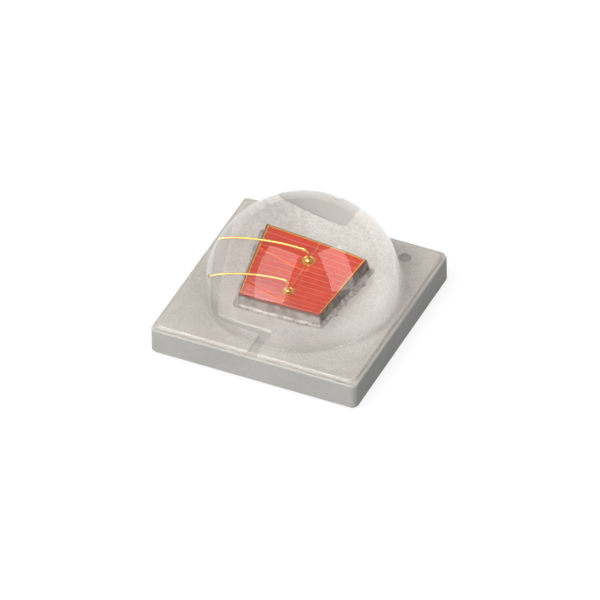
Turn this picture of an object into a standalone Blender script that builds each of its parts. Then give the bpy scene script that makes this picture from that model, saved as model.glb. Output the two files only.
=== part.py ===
# Surface-mount high-power LED: ceramic body, vertical red chip, clear lens moulded over both.
# Metres, +Z up. The origin is the centre of the underside, in the plane of the solder pads.
# +X runs from the wire plate to the die plate, and the polarity mark is in the +X +Y corner.

import math

import bmesh
import bpy
from mathutils import Vector, geometry

MM = 0.001

# Ceramic body
BODY_SIDE = 3.45 * MM
BODY_CORNER_RADIUS = 0.10 * MM
CERAMIC_THICKNESS = 0.445 * MM
CERAMIC_TOP_BREAK = 0.015 * MM
CERAMIC_BOTTOM_BREAK = 0.035 * MM

# Solder pads under the ceramic, in a row along X
PAD_THICKNESS = 0.04 * MM
PAD_MARGIN = 0.12 * MM
SIDE_PAD_WIDTH = 0.50 * MM
THERMAL_PAD_WIDTH = 1.30 * MM
PAD_CORNER_RADIUS = 0.06 * MM

# Plated plates on the ceramic, with the isolation gap between them
PLATE_THICKNESS = 0.045 * MM
PLATE_MARGIN = 0.075 * MM
PLATE_CORNER_RADIUS = 0.12 * MM
PLATE_INNER_RADIUS = 0.04 * MM
PLATE_EDGE_BREAK = 0.012 * MM
ISOLATION_GAP = 0.14 * MM
WIRE_STRIP_WIDTH = 0.73 * MM
WIRE_ARM_LENGTH = 1.55 * MM
WIRE_ARM_WIDTH = 0.63 * MM
MARK_DIAMETER = 0.21 * MM
MARK_FROM_SIDE = 0.56 * MM
MARK_FROM_BACK = 0.40 * MM

# Copper vias through the ceramic, one pair over each side pad
VIA_DIAMETER = 0.12 * MM
VIA_SPACING = 1.80 * MM

# Vertical chip: carrier, light-emitting layer and gold contact grid
CHIP_SIDE = 1.07 * MM
CHIP_CORNER_RADIUS = 0.012 * MM
CHIP_SHIFT_X = 0.01 * MM
CARRIER_THICKNESS = 0.14 * MM
LAYER_THICKNESS = 0.008 * MM
LAYER_MARGIN = 0.010 * MM
GRID_THICKNESS = 0.005 * MM
GRID_FRAME_WIDTH = 0.022 * MM
GRID_FRAME_MARGIN = 0.004 * MM
FINGER_WIDTH = 0.009 * MM
FINGER_PITCH = 0.080 * MM
BUS_WIDTH = 0.014 * MM
BOND_PAD_DIAMETER = 0.14 * MM
BOND_PAD_SPACING = 0.52 * MM

# Die attach: a thin bed under the chip with a fillet up its sides
ATTACH_THICKNESS = 0.02 * MM
ATTACH_FILLET_WIDTH = 0.06 * MM
ATTACH_FILLET_HEIGHT = 0.03 * MM
ATTACH_LIP = 0.006 * MM

# Bond wires. Each rises from its ball, clears the chip's edge and falls to its stitch.
WIRE_DIAMETER = 0.028 * MM
BALL_DIAMETER = 0.096 * MM
BALL_HEIGHT = 0.040 * MM
LOOP_HEIGHT = 0.14 * MM
LOOP_CREST_RUN = 0.07 * MM
EDGE_CLEARANCE = 0.022 * MM
# The slopes at the crest and at the landing, as shares of the mean slope of the fall there
CREST_SLOPE_SHARE = 0.55
LANDING_SLOPE_SHARE = 1.30
STITCH_LENGTH = 0.06 * MM
STITCH_WIDTH = 0.056 * MM
STITCH_THICKNESS = 0.010 * MM
STITCH_FROM_EDGE = 0.10 * MM
STITCH_SHIFT_Y = 0.07 * MM

# Lens: a dome and the thin flash round it, one silicone moulding
LENS_RADIUS = 1.53 * MM
LENS_SHIFT_X = 0.05 * MM
LENS_SHIFT_Y = 0.05 * MM
LENS_SINK = 0.075 * MM
LENS_FOOT_RADIUS = 0.05 * MM
FLASH_THICKNESS = 0.04 * MM
FLASH_MARGIN = 0.02 * MM
FLASH_EDGE_WIDTH = 0.15 * MM
FLASH_EDGE_DROP = 0.07 * MM

# Pieces lie this far apart, so that no two solids share a face
SEAT_GAP = 0.002 * MM
# The smallest fillet that a corner keeps when its outline shrinks
LEAST_RADIUS = 0.002 * MM

CORNER_STEPS = 5
EDGE_STEPS = 5
DOME_STEPS = 64
DOME_RINGS = 15
FOOT_RINGS = 4
ROUND_STEPS = 24
WIRE_STEPS = 12
LOOP_STEPS = 9
BALL_STEPS = 6
STITCH_STEPS = 4

# Heights, from the pads' underside up
CERAMIC_BOTTOM = PAD_THICKNESS + SEAT_GAP
CERAMIC_TOP = CERAMIC_BOTTOM + CERAMIC_THICKNESS
PLATE_BOTTOM = CERAMIC_TOP + SEAT_GAP
PLATE_TOP = PLATE_BOTTOM + PLATE_THICKNESS
ATTACH_BOTTOM = PLATE_TOP + SEAT_GAP
CARRIER_BOTTOM = ATTACH_BOTTOM + ATTACH_THICKNESS + SEAT_GAP
CARRIER_TOP = CARRIER_BOTTOM + CARRIER_THICKNESS
LAYER_BOTTOM = CARRIER_TOP + SEAT_GAP
LAYER_TOP = LAYER_BOTTOM + LAYER_THICKNESS
GRID_BOTTOM = LAYER_TOP + SEAT_GAP
GRID_TOP = GRID_BOTTOM + GRID_THICKNESS
FLASH_TOP = PLATE_TOP + SEAT_GAP + FLASH_THICKNESS

BODY_HALF = BODY_SIDE / 2
CHIP_CENTRE = Vector((CHIP_SHIFT_X, 0.0))
LENS_CENTRE = Vector((LENS_SHIFT_X, LENS_SHIFT_Y))


class Outline:
    # A polygon, counter-clockwise from above, with rounded corners. It can be grown or shrunk.

    def __init__(self, corners, radii):
        self.corners = [Vector(corner) for corner in corners]
        self.radii = radii

    def ring(self, z, grow=0.0):
        points = []
        for index, corner in enumerate(self.corners):
            arriving = (corner - self.corners[index - 1]).normalized()
            leaving = (self.corners[(index + 1) % len(self.corners)] - corner).normalized()
            side_in = Vector((arriving.y, -arriving.x))
            side_out = Vector((leaving.y, -leaving.x))
            turn = math.atan2(arriving.cross(leaving), arriving.dot(leaving))
            way = math.copysign(1.0, turn)
            radius = max(self.radii[index] + way * grow, LEAST_RADIUS)
            reach = (side_in + side_out) / (1 + side_in.dot(side_out))
            centre = corner + reach * (grow - way * radius)
            for step in range(CORNER_STEPS + 1):
                angle = turn * step / CORNER_STEPS
                spoke = Vector((
                    side_in.x * math.cos(angle) - side_in.y * math.sin(angle),
                    side_in.x * math.sin(angle) + side_in.y * math.cos(angle),
                ))
                point = centre + spoke * way * radius
                points.append(Vector((point.x, point.y, z)))
        return points


def rectangle(centre, width, depth, radius):
    x, y = width / 2, depth / 2
    corners = [(centre.x + sx * x, centre.y + sy * y) for sx, sy in ((-1, -1), (1, -1), (1, 1), (-1, 1))]
    return Outline(corners, [radius] * 4)


def circle(centre, radius, z, steps):
    turns = [2 * math.pi * step / steps for step in range(steps)]
    return [Vector((centre.x + radius * math.cos(a), centre.y + radius * math.sin(a), z)) for a in turns]


def loft(rings, apex=None):
    # A closed skin over rings of as many points each, from the first to the last or to an apex.
    mesh = bmesh.new()
    rows = [[mesh.verts.new(point) for point in ring] for ring in rings]
    mesh.faces.new(reversed(rows[0]))
    for lower, upper in zip(rows, rows[1:]):
        for index in range(len(lower)):
            after = (index + 1) % len(lower)
            mesh.faces.new((lower[index], lower[after], upper[after], upper[index]))
    if apex is None:
        mesh.faces.new(rows[-1])
    else:
        tip = mesh.verts.new(apex)
        for index, vertex in enumerate(rows[-1]):
            mesh.faces.new((vertex, rows[-1][(index + 1) % len(rows[-1])], tip))
    return mesh


def make_material(name, colour, roughness, metallic=0.0, transmission=0.0):
    material = bpy.data.materials.new(name)
    material.use_nodes = True
    shader = material.node_tree.nodes["Principled BSDF"]
    shader.inputs["Base Color"].default_value = (*colour, 1.0)
    shader.inputs["Roughness"].default_value = roughness
    shader.inputs["Metallic"].default_value = metallic
    shader.inputs["Transmission Weight"].default_value = transmission
    material.diffuse_color = (*colour, 1.0)
    return material


def make_object(name, mesh, material=None, smooth_below=None):
    data = bpy.data.meshes.new(name)
    mesh.to_mesh(data)
    mesh.free()
    piece = bpy.data.objects.new(name, data)
    bpy.context.scene.collection.objects.link(piece)
    if material:
        data.materials.append(material)
    if smooth_below:
        data.shade_smooth()
        data.set_sharp_from_angle(angle=math.radians(smooth_below))
    return piece


def make_cutter(name, mesh):
    cutter = make_object(name, mesh)
    cutter.hide_render = True
    cutter.display_type = "WIRE"
    return cutter


def combine(piece, other, operation):
    modifier = piece.modifiers.new(other.name, "BOOLEAN")
    modifier.operation = operation
    modifier.solver = "EXACT"
    modifier.object = other


def via_places():
    side = BODY_HALF - PAD_MARGIN - SIDE_PAD_WIDTH / 2
    names = ("wire_via_front", "wire_via_back", "die_via_front", "die_via_back")
    spots = [(sx * side, sy * VIA_SPACING / 2) for sx in (-1, 1) for sy in (-1, 1)]
    return {name: Vector(spot) for name, spot in zip(names, spots)}


def mark_centre():
    return Vector((BODY_HALF - MARK_FROM_SIDE, BODY_HALF - MARK_FROM_BACK))


def body_outline():
    return rectangle(Vector((0, 0)), BODY_SIDE, BODY_SIDE, BODY_CORNER_RADIUS)


def chip_outline():
    return rectangle(CHIP_CENTRE, CHIP_SIDE, CHIP_SIDE, CHIP_CORNER_RADIUS)


def wire_plate_outline():
    # A strip down the left side with an arm along the front edge and one along the back edge.
    edge = BODY_HALF - PLATE_MARGIN
    strip = -edge + WIRE_STRIP_WIDTH
    arm = -edge + WIRE_ARM_LENGTH
    neck = edge - WIRE_ARM_WIDTH
    corners = [
        (-edge, -edge), (arm, -edge), (arm, -neck), (strip, -neck),
        (strip, neck), (arm, neck), (arm, edge), (-edge, edge),
    ]
    outer, inner = PLATE_CORNER_RADIUS, PLATE_INNER_RADIUS
    return Outline(corners, [outer] + [inner] * 6 + [outer])


def die_plate_outline():
    # The rest of the top, wider behind the ends of the wire plate's arms.
    edge = BODY_HALF - PLATE_MARGIN
    strip = -edge + WIRE_STRIP_WIDTH + ISOLATION_GAP
    arm = -edge + WIRE_ARM_LENGTH + ISOLATION_GAP
    neck = edge - WIRE_ARM_WIDTH - ISOLATION_GAP
    corners = [
        (arm, -edge), (edge, -edge), (edge, edge), (arm, edge),
        (arm, neck), (strip, neck), (strip, -neck), (arm, -neck),
    ]
    outer, inner = PLATE_CORNER_RADIUS, PLATE_INNER_RADIUS
    return Outline(corners, [inner, outer, outer] + [inner] * 5)


def make_ceramic(material, vias):
    outline = body_outline()
    mesh = loft([
        outline.ring(CERAMIC_BOTTOM, -CERAMIC_BOTTOM_BREAK),
        outline.ring(CERAMIC_BOTTOM + CERAMIC_BOTTOM_BREAK),
        outline.ring(CERAMIC_TOP - CERAMIC_TOP_BREAK),
        outline.ring(CERAMIC_TOP, -CERAMIC_TOP_BREAK),
    ])
    ceramic = make_object("ceramic_substrate", mesh, material)
    for name, centre in vias.items():
        radius = VIA_DIAMETER / 2 + SEAT_GAP
        heights = (CERAMIC_BOTTOM - PAD_THICKNESS / 2, CERAMIC_TOP + PLATE_THICKNESS / 2)
        hole = loft([circle(centre, radius, z, ROUND_STEPS) for z in heights])
        combine(ceramic, make_cutter(f"{name}_hole", hole), "DIFFERENCE")


def make_via(name, centre, material):
    heights = (CERAMIC_BOTTOM, CERAMIC_TOP)
    mesh = loft([circle(centre, VIA_DIAMETER / 2, z, ROUND_STEPS) for z in heights])
    make_object(name, mesh, material, smooth_below=40)


def make_pads(material):
    depth = BODY_SIDE - 2 * PAD_MARGIN
    side = BODY_HALF - PAD_MARGIN - SIDE_PAD_WIDTH / 2
    pads = {
        "cathode_pad": (-side, SIDE_PAD_WIDTH),
        "thermal_pad": (0.0, THERMAL_PAD_WIDTH),
        "anode_pad": (side, SIDE_PAD_WIDTH),
    }
    for name, (x, width) in pads.items():
        outline = rectangle(Vector((x, 0)), width, depth, PAD_CORNER_RADIUS)
        mesh = loft([outline.ring(0.0), outline.ring(PAD_THICKNESS)])
        make_object(name, mesh, material)


def make_plate(name, outline, material):
    mesh = loft([
        outline.ring(PLATE_BOTTOM),
        outline.ring(PLATE_TOP - PLATE_EDGE_BREAK),
        outline.ring(PLATE_TOP, -PLATE_EDGE_BREAK),
    ])
    return make_object(name, mesh, material)


def make_mark_hole(plate):
    heights = (PLATE_BOTTOM - CERAMIC_THICKNESS / 2, FLASH_TOP)
    hole = loft([circle(mark_centre(), MARK_DIAMETER / 2, z, ROUND_STEPS) for z in heights])
    combine(plate, make_cutter("mark_hole", hole), "DIFFERENCE")


def attach_rings(outline, grow=0.0):
    # The meniscus: from the lip against the carrier down to the plate, hollow like a quarter round.
    top = ATTACH_BOTTOM + ATTACH_THICKNESS + ATTACH_FILLET_HEIGHT
    inner = SEAT_GAP + ATTACH_LIP
    rings = []
    for step in range(EDGE_STEPS + 1):
        angle = math.pi / 2 * step / EDGE_STEPS
        out = inner + (ATTACH_FILLET_WIDTH - inner) * (1 - math.sin(angle))
        up = ATTACH_BOTTOM + (top - ATTACH_BOTTOM) * (1 - math.cos(angle))
        rings.append(outline.ring(up + grow, out + grow))
    return rings


def make_die_attach(material):
    outline = chip_outline()
    top = ATTACH_BOTTOM + ATTACH_THICKNESS + ATTACH_FILLET_HEIGHT
    mesh = loft(attach_rings(outline) + [
        outline.ring(top, SEAT_GAP),
        outline.ring(ATTACH_BOTTOM + ATTACH_THICKNESS, SEAT_GAP),
    ])
    make_object("die_attach", mesh, material)


def make_carrier(material):
    outline = chip_outline()
    mesh = loft([outline.ring(CARRIER_BOTTOM), outline.ring(CARRIER_TOP)])
    make_object("die_carrier", mesh, material)


def make_layer(material):
    outline = chip_outline()
    mesh = loft([outline.ring(LAYER_BOTTOM, -LAYER_MARGIN), outline.ring(LAYER_TOP, -LAYER_MARGIN)])
    make_object("emitting_layer", mesh, material)


def bond_pad_centres():
    return [CHIP_CENTRE + Vector((0, way * BOND_PAD_SPACING / 2)) for way in (1, -1)]


def make_contact_grid(material):
    # The metal is the cells of a lattice that lie in the frame, in a finger or in the bus.
    half = CHIP_SIDE / 2 - LAYER_MARGIN - GRID_FRAME_MARGIN
    inside = half - GRID_FRAME_WIDTH
    count = int(2 * (inside - FINGER_WIDTH) / FINGER_PITCH)
    fingers = [(index - (count - 1) / 2) * FINGER_PITCH for index in range(count)]
    columns = [-half, -inside, -BUS_WIDTH / 2, BUS_WIDTH / 2, inside, half]
    rows = [-half, -inside]
    for y in fingers:
        rows += [y - FINGER_WIDTH / 2, y + FINGER_WIDTH / 2]
    rows += [inside, half]
    mesh = bmesh.new()
    corners = {}
    for i, x in enumerate(columns):
        for j, y in enumerate(rows):
            place = (CHIP_CENTRE.x + x, CHIP_CENTRE.y + y, GRID_BOTTOM)
            corners[i, j] = mesh.verts.new(place)
    for i in range(len(columns) - 1):
        for j in range(len(rows) - 1):
            in_column = i in (0, 2, 4)
            in_row = j % 2 == 0
            if in_column or in_row:
                mesh.faces.new((corners[i, j], corners[i, j + 1], corners[i + 1, j + 1], corners[i + 1, j]))
    base = list(mesh.faces)
    top = bmesh.ops.extrude_face_region(mesh, geom=base, use_keep_orig=True)
    for element in top["geom"]:
        if isinstance(element, bmesh.types.BMVert):
            element.co.z = GRID_TOP
    bmesh.ops.recalc_face_normals(mesh, faces=mesh.faces)
    grid = make_object("contact_grid", mesh, material)
    for name, centre in zip(("back_pad_disc", "front_pad_disc"), bond_pad_centres()):
        disc = loft([circle(centre, BOND_PAD_DIAMETER / 2, z, ROUND_STEPS) for z in (GRID_BOTTOM, GRID_TOP)])
        combine(grid, make_cutter(name, disc), "UNION")


def falling_arc(start, end, start_slope, end_slope):
    # From one run and height to the next, falling by these slopes at its ends.
    handle = (end[0] - start[0]) / 3
    return geometry.interpolate_bezier(
        start, (start[0] + handle, start[1] - handle * start_slope),
        (end[0] - handle, end[1] + handle * end_slope), end,
        LOOP_STEPS,
    )


def wire_sections(span, edge_run):
    # Along the wire from the ball to the stitch: run, height, half width and half thickness.
    radius = WIRE_DIAMETER / 2
    ball_bottom = GRID_TOP + SEAT_GAP
    sections = []
    for step in range(BALL_STEPS + 1):
        angle = math.radians(-50 + 115 * step / BALL_STEPS)
        rise = (math.sin(angle) - math.sin(math.radians(-50))) / 2
        width = max(BALL_DIAMETER / 2 * math.cos(angle), radius)
        sections.append((0.0, ball_bottom + BALL_HEIGHT * rise, width, width))
    neck = sections[-1][1] + radius
    plate = PLATE_TOP + SEAT_GAP
    landing = span - STITCH_LENGTH
    crest = (LOOP_CREST_RUN, GRID_TOP + LOOP_HEIGHT)
    edge = (edge_run, GRID_TOP + EDGE_CLEARANCE + radius)
    foot = (landing, plate + radius)
    upper_slope = (crest[1] - edge[1]) / (edge[0] - crest[0])
    lower_slope = (edge[1] - foot[1]) / (foot[0] - edge[0])
    crest_slope = CREST_SLOPE_SHARE * upper_slope
    edge_slope = (upper_slope + lower_slope) / 2
    bend = 0.65 * LOOP_CREST_RUN
    ascent = geometry.interpolate_bezier(
        (0, neck), (0, neck + 0.75 * (crest[1] - neck)), (crest[0] - bend, crest[1] + bend * crest_slope), crest,
        LOOP_STEPS,
    )
    upper_fall = falling_arc(crest, edge, crest_slope, edge_slope)
    lower_fall = falling_arc(edge, foot, edge_slope, LANDING_SLOPE_SHARE * lower_slope)
    for run, height in ascent + upper_fall[1:] + lower_fall[1:]:
        sections.append((run, height, radius, radius))
    for step in range(1, STITCH_STEPS + 1):
        share = step / STITCH_STEPS
        half_width = radius + (STITCH_WIDTH / 2 - radius) * share
        half_thickness = radius + (STITCH_THICKNESS / 2 - radius) * share
        sections.append((landing + STITCH_LENGTH * share, plate + half_thickness, half_width, half_thickness))
    return sections


def wire_rings(start, end, grow=0.0):
    # The loop lies in one upright plane, so each ring is square to the path in that plane.
    along = (end - start).normalized()
    across = Vector((-along.y, along.x, 0))
    sections = wire_sections((end - start).length, CHIP_SIDE / 2 / abs(along.x))
    places = [Vector((*(start + along * run), height)) for run, height, _, _ in sections]
    rings = []
    for index, (_, _, half_width, half_thickness) in enumerate(sections):
        before = places[max(index - 1, 0)]
        after = places[min(index + 1, len(places) - 1)]
        tangent = (after - before).normalized()
        lift = tangent.cross(across)
        centre = places[index].copy()
        if index == 0:
            centre -= tangent * grow
        if index == len(places) - 1:
            centre += tangent * grow
        ring = []
        for step in range(WIRE_STEPS):
            angle = 2 * math.pi * step / WIRE_STEPS
            ring.append(
                centre
                + across * (half_width + grow) * math.cos(angle)
                + lift * (half_thickness + grow) * math.sin(angle)
            )
        rings.append(ring)
    return rings


def wire_ends():
    edge = -BODY_HALF + PLATE_MARGIN + WIRE_STRIP_WIDTH
    ends = {}
    for name, pad in zip(("bond_wire_1", "bond_wire_2"), bond_pad_centres()):
        ends[name] = (pad, Vector((edge - STITCH_FROM_EDGE, pad.y + STITCH_SHIFT_Y)))
    return ends


def make_dome_mesh():
    # The profile runs up the foot fillet, which is tangent to the flash and to the sphere.
    below = LENS_SINK + LENS_FOOT_RADIUS
    foot_run = math.sqrt((LENS_RADIUS + LENS_FOOT_RADIUS) ** 2 - below ** 2)
    meet = math.atan2(below, foot_run)
    rings = [circle(LENS_CENTRE, foot_run, FLASH_TOP - FLASH_THICKNESS / 2, DOME_STEPS)]
    for step in range(FOOT_RINGS):
        angle = math.radians(-90) - (math.radians(90) - meet) * step / FOOT_RINGS
        run = foot_run + LENS_FOOT_RADIUS * math.cos(angle)
        height = FLASH_TOP + LENS_FOOT_RADIUS + LENS_FOOT_RADIUS * math.sin(angle)
        rings.append(circle(LENS_CENTRE, run, height, DOME_STEPS))
    sphere_height = FLASH_TOP - LENS_SINK
    for step in range(DOME_RINGS):
        angle = meet + (math.radians(90) - meet) * step / DOME_RINGS
        height = sphere_height + LENS_RADIUS * math.sin(angle)
        rings.append(circle(LENS_CENTRE, LENS_RADIUS * math.cos(angle), height, DOME_STEPS))
    apex = Vector((*LENS_CENTRE, sphere_height + LENS_RADIUS))
    return loft(rings, apex)


def make_flash_mesh():
    outline = body_outline()
    rings = [outline.ring(PLATE_BOTTOM, -FLASH_MARGIN)]
    for step in range(EDGE_STEPS + 1):
        angle = math.pi / 2 * step / EDGE_STEPS
        inset = FLASH_MARGIN + (FLASH_EDGE_WIDTH - FLASH_MARGIN) * (1 - math.cos(angle))
        rings.append(outline.ring(FLASH_TOP - FLASH_EDGE_DROP * (1 - math.sin(angle)), -inset))
    return loft(rings)


def make_lens(material):
    lens = make_object("silicone_lens", make_flash_mesh(), material, smooth_below=40)
    combine(lens, make_cutter("dome", make_dome_mesh()), "UNION")
    below = PLATE_BOTTOM - PLATE_THICKNESS
    for name, outline in (("die_plate_pocket", die_plate_outline()), ("wire_plate_pocket", wire_plate_outline())):
        pocket = loft([outline.ring(below, SEAT_GAP), outline.ring(PLATE_TOP + SEAT_GAP, SEAT_GAP)])
        combine(lens, make_cutter(name, pocket), "DIFFERENCE")
    mark = loft([
        circle(mark_centre(), MARK_DIAMETER / 2 - SEAT_GAP, z, ROUND_STEPS)
        for z in (PLATE_BOTTOM, FLASH_TOP - FLASH_THICKNESS / 2)
    ])
    combine(lens, make_cutter("mark_plug", mark), "UNION")
    outline = chip_outline()
    foot = outline.ring(PLATE_TOP - PLATE_THICKNESS / 2, ATTACH_FILLET_WIDTH + SEAT_GAP)
    shoulder = outline.ring(GRID_TOP + SEAT_GAP, SEAT_GAP)
    chip = loft([foot] + attach_rings(outline, SEAT_GAP) + [shoulder])
    combine(lens, make_cutter("chip_pocket", chip), "DIFFERENCE")
    for name, (start, end) in wire_ends().items():
        tunnel = loft(wire_rings(start, end, SEAT_GAP))
        combine(lens, make_cutter(f"{name}_tunnel", tunnel), "DIFFERENCE")


def build():
    for piece in list(bpy.data.objects):
        bpy.data.objects.remove(piece)
    ceramic = make_material("ceramic", (0.62, 0.61, 0.58), 0.6)
    plating = make_material("silver_plating", (0.80, 0.78, 0.74), 0.35, metallic=1.0)
    pad_plating = make_material("pad_plating", (0.85, 0.80, 0.66), 0.3, metallic=1.0)
    copper = make_material("copper", (0.80, 0.45, 0.30), 0.35, metallic=1.0)
    attach = make_material("die_attach_metal", (0.72, 0.71, 0.70), 0.4, metallic=1.0)
    carrier = make_material("carrier_metal", (0.16, 0.15, 0.15), 0.45, metallic=0.6)
    layer = make_material("red_semiconductor", (0.80, 0.06, 0.03), 0.3)
    gold = make_material("gold", (1.00, 0.72, 0.29), 0.25, metallic=1.0)
    silicone = make_material("clear_silicone", (1.0, 1.0, 1.0), 0.02, transmission=1.0)

    vias = via_places()
    make_ceramic(ceramic, vias)
    for name, centre in vias.items():
        make_via(name, centre, copper)
    make_pads(pad_plating)
    make_mark_hole(make_plate("die_plate", die_plate_outline(), plating))
    make_plate("wire_plate", wire_plate_outline(), plating)
    make_die_attach(attach)
    make_carrier(carrier)
    make_layer(layer)
    make_contact_grid(gold)
    for name, (start, end) in wire_ends().items():
        make_object(name, loft(wire_rings(start, end)), gold, smooth_below=50)
    make_lens(silicone)


build()
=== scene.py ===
import math

import bmesh
import bpy
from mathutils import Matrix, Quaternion, Vector, noise


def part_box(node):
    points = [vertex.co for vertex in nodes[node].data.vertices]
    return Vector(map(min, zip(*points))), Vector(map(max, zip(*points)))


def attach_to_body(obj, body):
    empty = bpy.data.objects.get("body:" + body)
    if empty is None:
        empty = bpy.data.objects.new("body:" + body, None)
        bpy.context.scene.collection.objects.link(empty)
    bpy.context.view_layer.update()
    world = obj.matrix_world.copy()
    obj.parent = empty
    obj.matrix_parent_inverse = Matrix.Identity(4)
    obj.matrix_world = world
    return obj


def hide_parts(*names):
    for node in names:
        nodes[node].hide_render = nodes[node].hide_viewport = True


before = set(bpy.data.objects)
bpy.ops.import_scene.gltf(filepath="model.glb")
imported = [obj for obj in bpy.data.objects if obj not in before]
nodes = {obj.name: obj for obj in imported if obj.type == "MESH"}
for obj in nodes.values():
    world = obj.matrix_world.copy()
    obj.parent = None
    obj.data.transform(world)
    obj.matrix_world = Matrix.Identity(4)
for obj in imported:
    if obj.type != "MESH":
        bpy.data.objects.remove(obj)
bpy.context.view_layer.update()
mm = 0.001
rightAngle = math.pi / 2
print("frame loaded:", len(nodes), "nodes")


# Node trees

class Wire:
    # a socket that can be used in sums, or the bare tree where there is no socket yet

    def __init__(self, tree, socket=None):
        self.tree = tree
        self.socket = socket

    def add(self, kind, inputs=None, out=0, **settings):
        node = self.tree.nodes.new(kind)
        for name, value in settings.items():
            setattr(node, name, value)
        for key, value in (inputs or {}).items():
            if isinstance(value, Wire):
                self.tree.links.new(value.socket, node.inputs[key])
            else:
                node.inputs[key].default_value = value
        return Wire(self.tree, node.outputs[out] if node.outputs else None)

    def outputs(self, *names):
        # the named outputs of the node that this socket is on
        return [Wire(self.tree, self.socket.node.outputs[name]) for name in names]

    def sum(self, operation, first, second=0.0):
        return self.add("ShaderNodeMath", {0: first, 1: second}, operation=operation)

    def __add__(self, other):
        return self.sum("ADD", self, other)

    __radd__ = __add__

    def __sub__(self, other):
        return self.sum("SUBTRACT", self, other)

    def __rsub__(self, other):
        return self.sum("SUBTRACT", other, self)

    def __mul__(self, other):
        return self.sum("MULTIPLY", self, other)

    def __truediv__(self, other):
        return self.sum("DIVIDE", self, other)

    def __pow__(self, other):
        return self.sum("POWER", self, other)

    def __or__(self, other):
        return self.sum("MAXIMUM", self, other)

    def __abs__(self):
        return self.sum("ABSOLUTE", self)

    def ramp(self, low, high, start=0.0, end=1.0):
        # smooth step from start to end while the value goes from low to high
        inputs = {"Value": self, "From Min": low, "From Max": high, "To Min": start, "To Max": end}
        return self.add("ShaderNodeMapRange", inputs, interpolation_type="SMOOTHSTEP")

    def blend(self, first, second):
        # colours: first where this value is 0, second where it is 1
        return self.add("ShaderNodeMix", {0: self, 6: first, 7: second}, out=2, data_type="RGBA")


def fromScreen(red, green, blue):
    # a colour as a screen shows it, 0 to 255, in the light that a shader works in
    shares = [value / 255 for value in (red, green, blue)]
    return tuple(((share + 0.055) / 1.055) ** 2.4 for share in shares) + (1.0,)


def newMaterial(name):
    material = bpy.data.materials.new(name)
    material.use_nodes = True
    material.node_tree.nodes.clear()
    return material, Wire(material.node_tree)


def placeInMm(tree, stretch=(1, 1, 1)):
    # the point on the object in millimetres
    place = tree.add("ShaderNodeTexCoord", out="Object")
    return tree.add("ShaderNodeMapping", {"Vector": place, "Scale": [share / mm for share in stretch]})


def speckle(tree, place, size, detail, roughness=0.5):
    # cloudy noise whose lumps are about size millimetres across
    inputs = {"Vector": place, "Scale": 1 / size, "Detail": detail, "Roughness": roughness}
    return tree.add("ShaderNodeTexNoise", inputs)


def bump(tree, height, depth, strength):
    return tree.add("ShaderNodeBump", {"Height": height, "Distance": depth, "Strength": strength})


def surface(tree, **values):
    # a Principled shader; its sockets are named with underscores for spaces
    inputs = {name.replace("_", " "): value for name, value in values.items()}
    shader = tree.add("ShaderNodeBsdfPrincipled", inputs, out="BSDF")
    tree.add("ShaderNodeOutputMaterial", {"Surface": shader})


# Finishes: grain, cloud and the like are a noise's size in millimetres, its detail and its roughness;
# rough is the surface's roughness at the low and the high end of the grain; bumps have depth and strength

noiseRange = (0.3, 0.7)
colourRange = (0.35, 0.65)
chipIor = 2.2


def grainySurface(tree, look, colour, grains, **values):
    surface(tree, Base_Color=colour, Roughness=grains.ramp(*noiseRange, *look["rough"]),
            Normal=bump(tree, grains, *look["bumps"]), **values)


def twoToned(name, look, **values):
    # dark and light, mixed by the grain and, where there is one, the cloud
    material, tree = newMaterial(name)
    place = placeInMm(tree)
    grains = speckle(tree, place, *look["grain"])
    tone = grains
    if "cloud" in look:
        tone = grains * look["grainShare"] + speckle(tree, place, *look["cloud"]) * look["cloudShare"]
    colour = tone.ramp(*look.get("range", colourRange)).blend(look["dark"], look["light"])
    grainySurface(tree, look, colour, grains, **values)
    return material


plating = {
    "light": fromScreen(248, 242, 235), "dark": fromScreen(228, 221, 213), "rough": (0.32, 0.56),
    "grain": (0.026, 3.0, 0.65), "grainShare": 0.65, "cloud": (0.45, 4.0, 0.6), "cloudShare": 0.35,
    "bumps": (0.010 * mm, 0.9),
}
pads = {
    "light": fromScreen(228, 212, 172), "dark": fromScreen(206, 188, 148), "rough": (0.28, 0.42),
    "grain": (0.04, 3.0, 0.6), "grainShare": 0.4, "cloud": (0.6, 3.0), "cloudShare": 0.6,
    "bumps": (0.004 * mm, 0.5),
}
copper = {
    "light": fromScreen(226, 160, 122), "dark": fromScreen(196, 124, 88), "rough": (0.3, 0.45),
    "grain": (0.015, 3.0), "bumps": (0.002 * mm, 0.5),
}
attachMetal = {
    "light": fromScreen(208, 200, 194), "dark": fromScreen(172, 162, 155), "rough": (0.5, 0.34),
    "grain": (0.06, 3.0, 0.6), "range": (0.38, 0.6), "bumps": (0.004 * mm, 0.5),
}
redLayer = {
    "light": fromScreen(240, 70, 28), "dark": fromScreen(231, 56, 20), "rough": (0.03, 0.07),
    "grain": (0.02, 2.0), "grainShare": 0.3, "cloud": (0.16, 3.0), "cloudShare": 0.7,
    "bumps": (0.0004 * mm, 0.3),
}
goldWire = {
    "light": fromScreen(255, 214, 140), "dark": fromScreen(244, 190, 104), "rough": (0.14, 0.24),
    "grain": (0.012, 2.0), "bumps": (0.001 * mm, 0.3),
}


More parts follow.
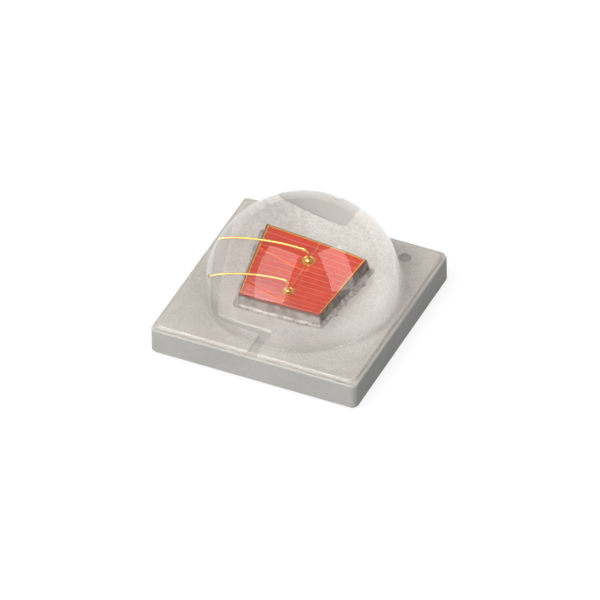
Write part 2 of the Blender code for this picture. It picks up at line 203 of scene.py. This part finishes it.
def ceramicFinish():
    # the sides are grey and darker towards the bottom, which is painted shade near the floor; the top between
    # the plates is paler, which is painted light that lifts the shade in those narrow gaps and along the
    # plates' edges; and the polarity mark is a dark dot
    look = {
        "light": fromScreen(172, 171, 167), "dark": fromScreen(160, 159, 156), "range": (0.35, 0.75),
        # foot is a painted shade colour for the bottom of the sides
        "foot": fromScreen(130, 129, 127), "footShadeShare": 0.55, "footShadeRange": (0.04, 0.10),
        # top is painted light: paler than the sides, to lift the shade in the gaps between the plates
        "top": fromScreen(216, 211, 204), "topLightRange": (-0.004, -0.001),
        "mark": fromScreen(204, 199, 192), "markSpot": (1.165, 1.325, 0.0),
        "markRadius": 0.15, "markEdge": 0.02,
        "grain": (0.03, 4.0, 0.6), "grainShare": 0.6, "cloud": (0.5, 3.0), "cloudShare": 0.5,
        "rough": (0.5, 0.68), "bumps": (0.004 * mm, 0.5),
    }
    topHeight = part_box("ceramic_substrate")[1].z / mm
    material, tree = newMaterial("pressed_ceramic")
    place = placeInMm(tree)
    grains = speckle(tree, place, *look["grain"])
    clouds = speckle(tree, place, *look["cloud"])
    tone = grains * look["grainShare"] + clouds * look["cloudShare"]
    colour = tone.ramp(*look["range"]).blend(look["dark"], look["light"])
    height = tree.add("ShaderNodeSeparateXYZ", {0: place}, out="Z")
    # painted shade: the sides darken towards the bottom, where shade falls near the floor
    colour = height.ramp(*look["footShadeRange"], look["footShadeShare"], 0.0).blend(colour, look["foot"])
    # painted light: the top face is made paler to lift the shade in the narrow gaps between the plates and
    # along their edges
    low, high = look["topLightRange"]
    colour = height.ramp(topHeight + low, topHeight + high).blend(colour, look["top"])
    level = tree.add("ShaderNodeVectorMath", {0: place, 1: (1, 1, 0)}, operation="MULTIPLY")
    ends = {0: level, 1: look["markSpot"]}
    away = tree.add("ShaderNodeVectorMath", ends, out="Value", operation="DISTANCE")
    mark = away.ramp(look["markRadius"], look["markRadius"] + look["markEdge"], 1.0, 0.0)
    grainySurface(tree, look, mark.blend(colour, look["mark"]), grains)
    return material


def carrierFinish():
    # plated on the front wall, sawn and dull on the right one, with a dark line under the red layer
    look = {
        "plated": fromScreen(198, 189, 185), "shade": fromScreen(172, 163, 158), "platedRange": (0.40, 0.62),
        "dull": fromScreen(148, 142, 130), "burnt": fromScreen(104, 92, 84), "dullRange": (0.42, 0.62),
        "line": fromScreen(146, 122, 116), "lineRange": (-0.008, 0.022), "cornerRange": (-0.012, -0.004),
        "patch": (0.11, 3.0, 0.6), "patchesInLine": 0.05,
        "sawMark": (0.012, 3.0, 0.6), "marksInLine": 0.02, "sawStretch": (1, 1, 5),
        "rough": (0.5, 0.32), "bumps": (0.002 * mm, 0.6),
    }
    right, top = (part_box("die_carrier")[1] / mm).xz
    material, tree = newMaterial("sawn_carrier")
    place = placeInMm(tree)
    marks = speckle(tree, placeInMm(tree, look["sawStretch"]), *look["sawMark"])
    patches = speckle(tree, place, *look["patch"])
    x, z = tree.add("ShaderNodeSeparateXYZ", {0: place}).outputs("X", "Z")
    low, high = look["lineRange"]
    line = (z + marks * look["marksInLine"] + patches * look["patchesInLine"]).ramp(top + low, top + high)
    plated = patches.ramp(*look["platedRange"]).blend(look["plated"], look["shade"])
    plated = line.blend(plated, look["line"])
    dull = patches.ramp(*look["dullRange"]).blend(look["dull"], look["burnt"])
    low, high = look["cornerRange"]
    colour = x.ramp(right + low, right + high).blend(plated, dull)
    grainySurface(tree, look, colour, marks, Metallic=0.25)
    return material


def gridFinish():
    # gold on the frame and the bond pads, rosy along the front edge, and a thin reddish film elsewhere
    look = {
        "gold": fromScreen(240, 196, 104), "rose": fromScreen(236, 138, 112),
        "film": fromScreen(240, 122, 92), "dark": fromScreen(234, 108, 78), "grain": (0.02, 2.0),
        "frameInside": 0.496, "frameEdge": 0.006, "frontEdge": 0.500,
        "padOffset": 0.26, "padRadius": 0.075, "padEdge": 0.012,
        "metal": 0.9, "rough": (0.05, 0.50), "bumps": (0.0006 * mm, 0.3),
    }
    low, high = [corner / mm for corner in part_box("contact_grid")]
    middle = (low + high) / 2
    material, tree = newMaterial("printed_gold")
    place = tree.add("ShaderNodeVectorMath", {0: placeInMm(tree), 1: tuple(-middle)}, operation="ADD")
    grains = speckle(tree, place, *look["grain"])
    x, y = tree.add("ShaderNodeSeparateXYZ", {0: place}).outputs("X", "Y")
    front = y.ramp(-look["frontEdge"], -look["frameInside"], 1.0, 0.0)
    x, y = abs(x), abs(y)
    frameShare = (x | y).ramp(look["frameInside"], look["frameInside"] + look["frameEdge"])
    fromPad = (x ** 2 + (y - look["padOffset"]) ** 2) ** 0.5
    padShare = fromPad.ramp(look["padRadius"], look["padRadius"] - look["padEdge"])
    film = grains.ramp(*colourRange).blend(look["dark"], look["film"])
    bright = front.blend(look["gold"], look["rose"])
    colour = (frameShare | padShare).blend(film, bright)
    metal = (frameShare * (1 - front) | padShare) * look["metal"]
    surface(tree, Base_Color=colour, Metallic=metal, IOR=chipIor, Normal=bump(tree, grains, *look["bumps"]),
            Roughness=metal.ramp(0.0, look["metal"], *look["rough"]))
    return material


def siliconeFinish():
    look = {
        "clear": (0.99, 0.99, 0.985, 1.0), "hazy": (0.965, 0.965, 0.96, 1.0), "wave": (0.9, 1.0),
        "rough": (0.0, 0.03), "bumps": (0.0012 * mm, 0.5),
    }
    material, tree = newMaterial("clear_moulded_silicone")
    waves = speckle(tree, placeInMm(tree), *look["wave"])
    colour = waves.ramp(*noiseRange).blend(look["clear"], look["hazy"])
    grainySurface(tree, look, colour, waves, IOR=1.53, Transmission_Weight=1.0)
    return material


finishes = {
    "ceramic": ceramicFinish(),
    "plating": twoToned("matte_silver_plating", plating, Metallic=0.25),
    "pads": twoToned("gold_flashed_pads", pads, Metallic=1.0),
    "copper": twoToned("plated_copper", copper, Metallic=1.0),
    "attach": twoToned("silver_die_attach", attachMetal, Metallic=0.2),
    "carrier": carrierFinish(),
    "red": twoToned("red_epitaxy", redLayer, IOR=chipIor),
    "wire": twoToned("drawn_gold", goldWire, Metallic=1.0),
    "grid": gridFinish(),
    "silicone": siliconeFinish(),
}
coats = {
    "ceramic_substrate": "ceramic", "die_plate": "plating", "wire_plate": "plating",
    "thermal_pad": "pads", "anode_pad": "pads", "cathode_pad": "pads",
    "wire_via_front": "copper", "wire_via_back": "copper",
    "die_via_front": "copper", "die_via_back": "copper",
    "die_carrier": "carrier", "emitting_layer": "red",
}
for name, finish in coats.items():
    nodes[name].data.materials.clear()
    nodes[name].data.materials.append(finishes[finish])
print("finishes made:", len(finishes))


# Meshes

sharpAngle = math.radians(50)


def newObject(name, data):
    item = bpy.data.objects.new(name, data)
    bpy.context.scene.collection.objects.link(item)
    return item


def meshFrom(name, mesh):
    data = bpy.data.meshes.new(name)
    mesh.to_mesh(data)
    mesh.free()
    return data


def newPiece(name, data, finish, replaced):
    data.materials.clear()
    data.materials.append(finish)
    data.shade_smooth()
    data.set_sharp_from_angle(angle=sharpAngle)
    piece = newObject(name, data)
    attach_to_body(piece, "root")
    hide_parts(replaced)
    print("piece made:", name, len(data.polygons), "faces")


def skin(rings, tip=None):
    # joins rings of as many points each, and closes the first with a face and the last with a face or a tip
    mesh = bmesh.new()
    rows = [[mesh.verts.new(point) for point in ring] for ring in rings]
    for lower, upper in zip(rows, rows[1:]):
        for index in range(len(lower)):
            after = (index + 1) % len(lower)
            mesh.faces.new((lower[index], lower[after], upper[after], upper[index]))
    first, last = rows[0], rows[-1]
    mesh.faces.new(list(reversed(first)))
    if tip is None:
        mesh.faces.new(last)
    else:
        point = mesh.verts.new(tip)
        for before, after in zip(last, last[1:] + last[:1]):
            mesh.faces.new((before, after, point))
    return mesh


def turned(x, y, angle):
    return Vector((x * math.cos(angle) - y * math.sin(angle), x * math.sin(angle) + y * math.cos(angle)))


def roundedSquare(half, radius, sideSteps, cornerSteps):
    # points counter-clockwise, as even along the sides as round the corners
    points = []
    straight = half - radius
    for quarter in range(4):
        turn = rightAngle * quarter
        for step in range(sideSteps):
            along = straight * (2 * step / sideSteps - 1)
            points.append(turned(half, along, turn))
        for step in range(cornerSteps):
            angle = rightAngle * step / cornerSteps
            x = straight + radius * math.cos(angle)
            y = straight + radius * math.sin(angle)
            points.append(turned(x, y, turn))
    return points


def insideSquare(point, half, radius):
    # how far a point lies inside a rounded square's edge
    x = abs(point.x) - (half - radius)
    y = abs(point.y) - (half - radius)
    return radius - math.hypot(max(x, 0), max(y, 0)) - min(max(x, y), 0)


# Lens: a smooth dome with the thin flash round it, sunk a little so that no air lies under it

lens = {
    "domeRadius": 1.53 * mm, "shift": Vector((0.05, 0.05)) * mm, "footRadius": 0.05 * mm,
    "flashThickness": 0.04 * mm, "edgeWidth": 0.13 * mm, "edgeDrop": 0.07 * mm, "cornerRadius": 0.08 * mm,
    "seatGap": 0.002 * mm, "sink": 0.075 * mm, "buried": 0.012 * mm,
    "sideSteps": 44, "cornerSteps": 8, "domeRings": 56, "footRings": 10, "skirtRings": 26,
}


def makeLens():
    low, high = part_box("silicone_lens")
    half = (high.x - low.x) / 2
    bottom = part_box("ceramic_substrate")[1].z - lens["buried"]
    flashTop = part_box("die_plate")[1].z + lens["seatGap"] + lens["flashThickness"]
    outline = roundedSquare(half, lens["cornerRadius"], lens["sideSteps"], lens["cornerSteps"])
    centre = lens["shift"]
    spokes = [(point - centre).normalized() for point in outline]
    sphereHeight = flashTop - lens["sink"]
    rise = lens["sink"] + lens["footRadius"]
    footRun = math.sqrt((lens["domeRadius"] + lens["footRadius"]) ** 2 - rise ** 2)
    meet = math.atan2(rise, footRun)

    def flashHeight(point):
        inside = insideSquare(point, half, lens["cornerRadius"])
        short = max(1 - inside / lens["edgeWidth"], 0)
        return flashTop - lens["edgeDrop"] * (1 - math.sqrt(max(1 - short ** 2, 0)))

    def ringAt(run, height, settle):
        # settle is 1 where the ring lies on the flash and 0 where it is clear of it
        ring = []
        for spoke in spokes:
            spot = centre + spoke * run
            drop = (flashTop - flashHeight(spot)) * settle
            ring.append(Vector((*spot, height - drop)))
        return ring

    edges = (bottom, flashTop - lens["edgeDrop"])
    rings = [[Vector((*point, height)) for point in outline] for height in edges]
    feet = [centre + spoke * footRun for spoke in spokes]
    for step in range(1, lens["skirtRings"]):
        share = (step / lens["skirtRings"]) ** 2
        spots = [point.lerp(foot, share) for point, foot in zip(outline, feet)]
        rings.append([Vector((*spot, flashHeight(spot))) for spot in spots])
    for step in range(lens["footRings"]):
        share = step / lens["footRings"]
        angle = -rightAngle - (rightAngle - meet) * share
        run = footRun + lens["footRadius"] * math.cos(angle)
        rings.append(ringAt(run, flashTop + lens["footRadius"] * (1 + math.sin(angle)), 1 - share))
    for step in range(lens["domeRings"]):
        angle = meet + (rightAngle - meet) * step / lens["domeRings"]
        height = sphereHeight + lens["domeRadius"] * math.sin(angle)
        rings.append(ringAt(lens["domeRadius"] * math.cos(angle), height, 0))
    mesh = skin(rings, tip=(*centre, sphereHeight + lens["domeRadius"]))
    data = meshFrom("lens_moulding", mesh)
    newPiece("lens_moulding", data, finishes["silicone"], "silicone_lens")


makeLens()


# Die attach: a lumpy silver fillet round the foot of the chip

attach = {
    "reach": 0.045 * mm, "climb": 0.040 * mm, "least": 0.015 * mm, "cornerRadius": 0.012 * mm,
    "plateGap": 0.0005 * mm, "chipGap": 0.001 * mm, "sideSteps": 60, "cornerSteps": 10, "slopeRings": 12,
    # how far each strays, how long its waves are and the seed of their noise
    "reachWaves": (0.020 * mm, 0.352 * mm, 3.1), "climbWaves": (0.012 * mm, 0.396 * mm, 7.7),
    "ripples": (0.002 * mm, 0.121 * mm, 1.3),
    # falloff, lacunarity and octaves of that noise
    "fractal": (1.0, 2.0, 3),
    # places on the right wall where more was squeezed out: distance along the wall and width in millimetres
    "blobs": [(0.33, 0.05), (0.18, 0.07), (-0.03, 0.04), (-0.24, 0.07)], "blobRise": 0.035 * mm,
    "wallShare": 0.98,
}


def makeDieAttach():
    low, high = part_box("die_carrier")
    centre = Vector(((low.x + high.x) / 2, (low.y + high.y) / 2))
    half = (high.x - low.x) / 2 + attach["chipGap"]
    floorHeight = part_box("die_plate")[1].z + attach["plateGap"]
    bedTop = low.z - attach["chipGap"]
    steps = (attach["sideSteps"], attach["cornerSteps"])
    inner = roundedSquare(half, attach["cornerRadius"], *steps)
    outer = roundedSquare(half + attach["reach"], attach["reach"], *steps)

    def strayed(kind, point):
        stray, length, seed = attach[kind]
        return stray * noise.fractal(Vector((point.x / length, point.y / length, seed)), *attach["fractal"])

    def squeezedOut(point):
        if point.x <= half * attach["wallShare"]:
            return 0.0
        bulges = [math.exp(-((point.y / mm - along) / width * 2) ** 2) for along, width in attach["blobs"]]
        return attach["blobRise"] * sum(bulges)

    rings = []
    for step in range(attach["slopeRings"] + 1):
        share = step / attach["slopeRings"]
        angle = rightAngle * share
        ring = []
        for near, far in zip(inner, outer):
            out = far - near
            reach = max(out.length + strayed("reachWaves", near), attach["least"]) + squeezedOut(near)
            climb = max(attach["climb"] + strayed("climbWaves", near), attach["least"]) + squeezedOut(near)
            spot = near + out.normalized() * reach * (1 - math.sin(angle)) + centre
            height = climb * (1 - math.cos(angle)) + strayed("ripples", spot) * math.sin(math.pi * share)
            ring.append(Vector((*spot, floorHeight + max(height, 0.0))))
        rings.append(ring)
    rings.append([Vector((*(point + centre), bedTop)) for point in inner])
    mesh = skin(rings)
    bmesh.ops.recalc_face_normals(mesh, faces=mesh.faces)
    data = meshFrom("die_attach_fillet", mesh)
    newPiece("die_attach_fillet", data, finishes["attach"], "die_attach")


makeDieAttach()


# Geometry Nodes

def newTree(name, sizes):
    # a tree that is given a geometry and one named length, share or whole number for each size
    group = bpy.data.node_groups.new(name, "GeometryNodeTree")
    group.interface.new_socket("Geometry", in_out="INPUT", socket_type="NodeSocketGeometry")
    group.interface.new_socket("Geometry", in_out="OUTPUT", socket_type="NodeSocketGeometry")
    for size, value in sizes.items():
        kind = "NodeSocketInt" if isinstance(value, int) else "NodeSocketFloat"
        socket = group.interface.new_socket(size, in_out="INPUT", socket_type=kind)
        socket.default_value = value
    tree = Wire(group)
    names = ["Geometry", *sizes]
    return tree, dict(zip(names, tree.add("NodeGroupInput").outputs(*names)))


def grow(name, carrier, tree, parts, finish, replaced):
    # joins the parts, runs the tree on the carrier object and keeps the result as a plain mesh
    joined = tree.add("GeometryNodeJoinGeometry")
    for part in parts:
        tree.tree.links.new(part.socket, joined.socket.node.inputs[0])
    tree.add("NodeGroupOutput", {0: tree.add("GeometryNodeRealizeInstances", {0: joined})})
    modifier = carrier.modifiers.new(name, "NODES")
    modifier.node_group = tree.tree
    bpy.context.view_layer.update()
    result = carrier.evaluated_get(bpy.context.evaluated_depsgraph_get())
    data = bpy.data.meshes.new_from_object(result)
    data.name = name
    bpy.data.objects.remove(carrier)
    newPiece(name, data, finish, replaced)


def combined(tree, x=0.0, y=0.0, z=0.0):
    return tree.add("ShaderNodeCombineXYZ", {0: x, 1: y, 2: z})


def moved(tree, geometry, place, scale=(1, 1, 1)):
    return tree.add("GeometryNodeTransform", {"Geometry": geometry, "Translation": place, "Scale": scale})


# Contact grid: a frame, parallel fingers, one bus and two bond pads, printed on the red layer

grid = {
    "frameSide": 1.042 * mm, "frameWidth": 0.018 * mm, "fingerCount": 12, "fingerPitch": 0.080 * mm,
    "fingerWidth": 0.008 * mm, "busWidth": 0.013 * mm, "thickness": 0.003 * mm,
    "padDiameter": 0.14 * mm, "padSpacing": 0.52 * mm, "padSides": 40,
    # how many times as thick as a finger, so that no two tops lie in one plane
    "frameRise": 1.05, "busRise": 1.02, "padRise": 1.2,
}


def makeContactGrid():
    low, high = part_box("contact_grid")
    tree, given = newTree("contact_grid_rule", grid)
    side, thickness = given["frameSide"], given["thickness"]
    inside = side - given["frameWidth"]
    base = combined(tree, (low.x + high.x) / 2, (low.y + high.y) / 2, low.z + grid["thickness"] / 2)

    bar = tree.add("GeometryNodeMeshCube", {"Size": combined(tree, side, given["fingerWidth"], thickness)})
    first = given["fingerPitch"] * (1 - given["fingerCount"]) / 2
    line = tree.add("GeometryNodeMeshLine", {
        "Count": given["fingerCount"], "Start Location": combined(tree, 0.0, first),
        "Offset": combined(tree, 0.0, given["fingerPitch"]),
    })
    fingers = tree.add("GeometryNodeInstanceOnPoints", {"Points": line, "Instance": bar})

    square = tree.add("GeometryNodeCurvePrimitiveQuadrilateral", {"Width": inside, "Height": inside})
    profile = tree.add("GeometryNodeCurvePrimitiveQuadrilateral", {
        "Width": given["frameWidth"], "Height": thickness * given["frameRise"],
    })
    rim = tree.add("GeometryNodeCurveToMesh", {"Curve": square, "Profile Curve": profile})
    bus = tree.add("GeometryNodeMeshCube", {
        "Size": combined(tree, given["busWidth"], side, thickness * given["busRise"]),
    })
    disc = tree.add("GeometryNodeMeshCylinder", {
        "Vertices": given["padSides"], "Radius": given["padDiameter"] / 2,
        "Depth": thickness * given["padRise"],
    })
    discs = [moved(tree, disc, combined(tree, 0.0, given["padSpacing"] * way / 2)) for way in (-1, 1)]
    parts = [moved(tree, part, base) for part in (fingers, rim, bus, *discs)]

    carrier = newObject("grid_carrier", bpy.data.meshes.new("grid_carrier"))
    grow("contact_grid_lines", carrier, tree, parts, finishes["grid"], "contact_grid")


makeContactGrid()


# Bond wires: each follows a curve from its ball on the chip over a crest down to its stitch

bondWire = {
    "wireDiameter": 0.026 * mm, "ballDiameter": 0.096 * mm, "ballHeight": 0.040 * mm,
    "stitchLength": 0.075 * mm, "stitchWidth": 0.0525 * mm, "stitchThickness": 0.011 * mm,
    "steps": 80, "sides": 16, "ballSegments": 32, "ballRings": 16,
}
wirePath = {
    "crestHeight": 0.14 * mm, "crestRun": 0.07 * mm, "neckHeight": 0.050 * mm, "overEdge": 0.036 * mm,
    "stitchRun": 0.06 * mm, "stitchLead": 0.0225 * mm, "stitchShift": 0.07 * mm, "seatGap": 0.002 * mm,
    "crestSlope": 0.55, "landingSlope": 1.3, "resolution": 24,
    # how far the curve's handles reach; the one over the neck goes this share of the way up to the crest
    "belowNeck": 0.02 * mm, "overNeck": 0.75, "beforeCrest": 0.0455 * mm, "afterFoot": 0.01 * mm,
}


def makeBondWire(name, way):
    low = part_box(name)[0]
    gridLow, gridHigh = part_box("contact_grid")
    layerTop = gridHigh.z
    padSpot = Vector(((gridLow.x + gridHigh.x) / 2, way * grid["padSpacing"] / 2))
    stitch = Vector((low.x, padSpot.y + wirePath["stitchShift"]))
    along = (stitch - padSpot).normalized()
    landing = (stitch - padSpot).length - wirePath["stitchRun"]

    def at(run, height):
        return Vector((*(padSpot + along * run), height))

    neck = layerTop + wirePath["neckHeight"]
    crest = (wirePath["crestRun"], layerTop + wirePath["crestHeight"])
    edge = ((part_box("die_carrier")[0].x - padSpot.x) / along.x, layerTop + wirePath["overEdge"])
    foot = (landing, low.z + bondWire["wireDiameter"] / 2)
    upper = (crest[1] - edge[1]) / (edge[0] - crest[0])
    lower = (edge[1] - foot[1]) / (foot[0] - edge[0])
    slopes = [wirePath["crestSlope"] * upper, (upper + lower) / 2, wirePath["landingSlope"] * lower]
    thirds = [(edge[0] - crest[0]) / 3, (foot[0] - edge[0]) / 3]
    handles = [wirePath["beforeCrest"], *thirds, wirePath["afterFoot"]]

    overNeck = neck + wirePath["overNeck"] * (crest[1] - neck)
    places = [(at(0, neck), at(0, neck - wirePath["belowNeck"]), at(0, overNeck))]
    for (run, height), slope, before, after in zip((crest, edge, foot), slopes, handles, handles[1:]):
        leftHandle = at(run - before, height + before * slope)
        rightHandle = at(run + after, height - after * slope)
        places.append((at(run, height), leftHandle, rightHandle))
    curve = bpy.data.curves.new(name + "_path", "CURVE")
    curve.dimensions = "3D"
    spline = curve.splines.new("BEZIER")
    spline.bezier_points.add(len(places) - 1)
    for point, (spot, before, after) in zip(spline.bezier_points, places):
        point.co, point.handle_left, point.handle_right = spot, before, after
    spline.resolution_u = wirePath["resolution"]

    tree, given = newTree(name + "_rule", bondWire)
    path = tree.add("GeometryNodeResampleCurve", {"Curve": given["Geometry"], "Count": given["steps"]})
    profile = tree.add("GeometryNodeCurvePrimitiveCircle", {
        "Resolution": given["sides"], "Radius": given["wireDiameter"] / 2,
    })
    strand = tree.add("GeometryNodeCurveToMesh", {"Curve": path, "Profile Curve": profile, "Fill Caps": True})
    # one unit across, so that its scale is its size
    unitBall = tree.add("GeometryNodeMeshUVSphere", {
        "Segments": given["ballSegments"], "Rings": given["ballRings"], "Radius": 0.5,
    })
    ballSize = combined(tree, given["ballDiameter"], given["ballDiameter"], given["ballHeight"])
    ballSpot = at(0, layerTop + wirePath["seatGap"] + bondWire["ballHeight"] / 2)
    stitchSize = combined(tree, given["stitchLength"], given["stitchWidth"], given["stitchThickness"])
    stitchSpot = at(landing + wirePath["stitchLead"], low.z + bondWire["stitchThickness"] / 2)
    parts = [strand, moved(tree, unitBall, ballSpot, ballSize), moved(tree, unitBall, stitchSpot, stitchSize)]
    grow(name + "_loop", newObject(name + "_path", curve), tree, parts, finishes["wire"], name)


for wireName, way in (("bond_wire_1", 1), ("bond_wire_2", -1)):
    makeBondWire(wireName, way)


# Room: a white sweep, a dim sky with soft glows in it, and two softboxes, which the lens reflects

room = {
    "floorRadius": 400 * mm, "floorGrey": 0.30, "floorShadow": 0.16, "floorLight": 0.9, "sky": 0.33,
    "sweepFoot": 0.05, "sweepTop": 0.16, "boxDistance": 60 * mm,
    # degrees from the middle of a glow
    "glowCore": 8, "glowEdge": 26,
}
glows = [
    # azimuth and height in degrees, radiance in the middle
    {"azimuth": 0, "height": 58, "level": 3.1},
    {"azimuth": -45, "height": 58, "level": 1.4},
    {"azimuth": 0, "height": 14, "level": 2.6},
    {"azimuth": -120, "height": 14, "level": 2.1},
    {"azimuth": 180, "height": 14, "level": 1.0},
]
softboxes = [
    # azimuth and height, width and height, and roll, in degrees; radiance; and whether it lights the object
    # as well: the right wall is in the shade, so the right box is only mirrored in the lens
    {"name": "left_softbox", "azimuth": -29, "height": 47, "wide": 40, "tall": 58, "roll": 22, "level": 2.4,
     "lights": True},
    {"name": "right_softbox", "azimuth": 92, "height": 47, "wide": 30, "tall": 46, "roll": -33, "level": 2.9,
     "lights": False},
]


def towards(azimuth, height):
    # unit vector towards a place in the room; azimuth 0 is the front, 90 the right
    a, e = math.radians(azimuth), math.radians(height)
    return Vector((math.sin(a) * math.cos(e), -math.cos(a) * math.cos(e), math.sin(e)))


def faceMiddle(item, way, distance, roll, aim=Vector()):
    # puts the object at a distance from the aim and turns it to look back at it
    item.location = aim + way * distance
    item.rotation_mode = "QUATERNION"
    item.rotation_quaternion = Quaternion(way, math.radians(roll)) @ way.to_track_quat("Z", "Y")


def rayKinds(tree):
    return tree.add("ShaderNodeLightPath").outputs("Is Camera Ray", "Is Glossy Ray", "Is Transmission Ray")


def grey(level):
    return (level, level, level, 1.0)


def makeFloor():
    # where it is seen it glows white and keeps a share of the shade; the object gets grey light from it
    mesh = bmesh.new()
    bmesh.ops.create_circle(mesh, cap_ends=True, radius=room["floorRadius"], segments=96)
    floor = newObject("paper_floor", meshFrom("paper_floor", mesh))
    material, tree = newMaterial("white_paper")
    camera, glossy, through = rayKinds(tree)
    seen = camera | glossy | through
    colour = seen.blend(grey(room["floorGrey"]), grey(room["floorShadow"]))
    paper = tree.add("ShaderNodeBsdfDiffuse", {"Color": colour})
    strength = seen * (1 - room["floorLight"] * room["floorShadow"])
    shine = tree.add("ShaderNodeEmission", {"Color": grey(1.0), "Strength": strength})
    lit = tree.add("ShaderNodeAddShader", {0: paper, 1: shine})
    back = tree.add("ShaderNodeNewGeometry", out="Backfacing")
    clear = tree.add("ShaderNodeBsdfTransparent")
    both = tree.add("ShaderNodeMixShader", {0: back, 1: lit, 2: clear})
    tree.add("ShaderNodeOutputMaterial", {"Surface": both})
    floor.data.materials.append(material)


def makeSky():
    world = bpy.data.worlds.new("soft_room")
    bpy.context.scene.world = world
    world.use_nodes = True
    world.node_tree.nodes.clear()
    tree = Wire(world.node_tree)
    way = tree.add("ShaderNodeTexCoord", out="Generated")
    up = tree.add("ShaderNodeSeparateXYZ", {0: way}, out="Z")
    camera, glossy, through = rayKinds(tree)
    core, edge = (math.cos(math.radians(room[name])) for name in ("glowCore", "glowEdge"))
    sky = room["sky"]
    for place in glows:
        middle = towards(place["azimuth"], place["height"])
        facing = tree.add("ShaderNodeVectorMath", {0: way, 1: middle}, out="Value", operation="DOT_PRODUCT")
        # the glows light the object but leave no spots on the lens
        sky = sky + facing.ramp(edge, core, 0.0, place["level"]) * (1 - glossy * (1 - through))
    seen = camera | (glossy | through) * up.ramp(room["sweepFoot"], room["sweepTop"], 1.0, 0.0)
    strength = sky + (1 - sky) * seen
    background = tree.add("ShaderNodeBackground", {"Color": grey(1.0), "Strength": strength})
    tree.add("ShaderNodeOutputWorld", {"Surface": background})


def makeSoftbox(name, azimuth, height, wide, tall, roll, level, lights):
    lamp = bpy.data.lights.new(name, "AREA")
    lamp.shape = "RECTANGLE"
    lamp.size = 2 * room["boxDistance"] * math.tan(math.radians(wide / 2))
    lamp.size_y = 2 * room["boxDistance"] * math.tan(math.radians(tall / 2))
    lamp.energy = level * math.pi * lamp.size * lamp.size_y
    box = newObject(name, lamp)
    faceMiddle(box, towards(azimuth, height), room["boxDistance"], roll)
    box.visible_camera = False
    box.visible_diffuse = lights
    box.visible_transmission = lights


makeFloor()
makeSky()
for softbox in softboxes:
    makeSoftbox(**softbox)


# Camera

view = {
    "azimuth": 25.3, "elevation": 39.8, "roll": -1.0, "distance": 200 * mm, "viewWidth": 9.16 * mm,
    "aimHeight": 0.33 * mm, "aimRight": 0.0067 * mm, "sensor": 36.0, "clip": (5 * mm, 1.0),
}


def makeCamera():
    data = bpy.data.cameras.new("camera")
    data.sensor_width = view["sensor"]
    data.lens = view["sensor"] * view["distance"] / view["viewWidth"]
    data.clip_start, data.clip_end = view["clip"]
    eye = newObject("camera", data)
    way = towards(view["azimuth"], view["elevation"])
    right = Vector((0, 0, 1)).cross(way).normalized()
    aim = Vector((0, 0, view["aimHeight"])) + right * view["aimRight"]
    faceMiddle(eye, way, view["distance"], view["roll"], aim)
    bpy.context.scene.camera = eye


makeCamera()
bpy.context.scene.view_settings.view_transform = "Standard"
print("room and camera made")
